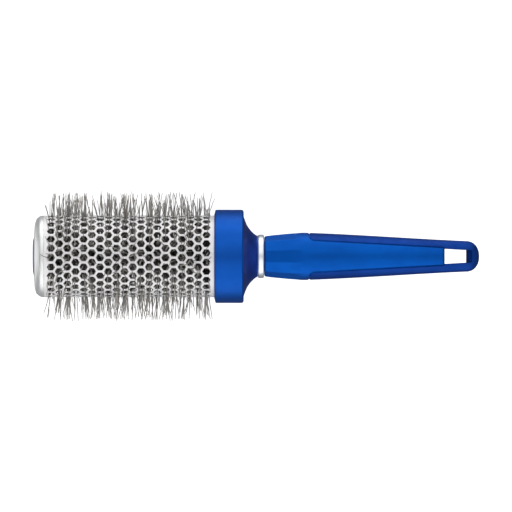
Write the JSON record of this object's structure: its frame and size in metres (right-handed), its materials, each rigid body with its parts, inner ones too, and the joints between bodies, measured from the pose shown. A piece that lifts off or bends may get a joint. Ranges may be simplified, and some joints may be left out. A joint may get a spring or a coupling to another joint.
{
  "type": "round hairbrush",
  "caption": "Vented thermal round hairbrush: perforated metal barrel with bristles, end cap, collar, bell neck and a faceted handle with a hang hole.",
  "frame": {"origin": "centre of the end button's flat face, on the brush's axis", "axes": "+X along the brush from its tip to the tail of the handle, +Z out of the handle's front panel and along the hang hole"},
  "size_m": [0.2455, 0.07, 0.07],
  "materials": {
    "barrel": "satin silver-white coating",
    "cap": "silver satin",
    "button": "dark blue gloss",
    "wire": "drawn galvanised wire",
    "bristle": "translucent grey-brown nylon",
    "collar": "blue gloss",
    "neck": "dark blue gloss",
    "ring": "satin silver",
    "sleeve": "turned",
    "core": "blue gloss",
    "grip": "soft satin, dark blue"
  },
  "bodies": {
    "root": {"end_button": "button", "end_cap": "cap", "barrel": "barrel", "core_wire_a": "wire", "core_wire_b": "wire", "bristle_ring_01": "bristle", "bristle_ring_02": "bristle", "bristle_ring_03": "bristle", "bristle_ring_04": "bristle", "bristle_ring_05": "bristle", "bristle_ring_06": "bristle", "bristle_ring_07": "bristle", "bristle_ring_08": "bristle", "bristle_ring_09": "bristle", "bristle_ring_10": "bristle", "bristle_ring_11": "bristle", "bristle_ring_12": "bristle", "bristle_ring_13": "bristle", "bristle_ring_14": "bristle", "bristle_ring_15": "bristle", "bristle_ring_16": "bristle", "bristle_ring_17": "bristle", "bristle_ring_18": "bristle", "bristle_ring_19": "bristle", "bristle_ring_20": "bristle", "collar": "collar", "neck": "neck", "ferrule_ring": "ring", "stem_sleeve": "sleeve", "handle_core": "core", "handle_grip": "grip"}
  },
  "joints": []
}
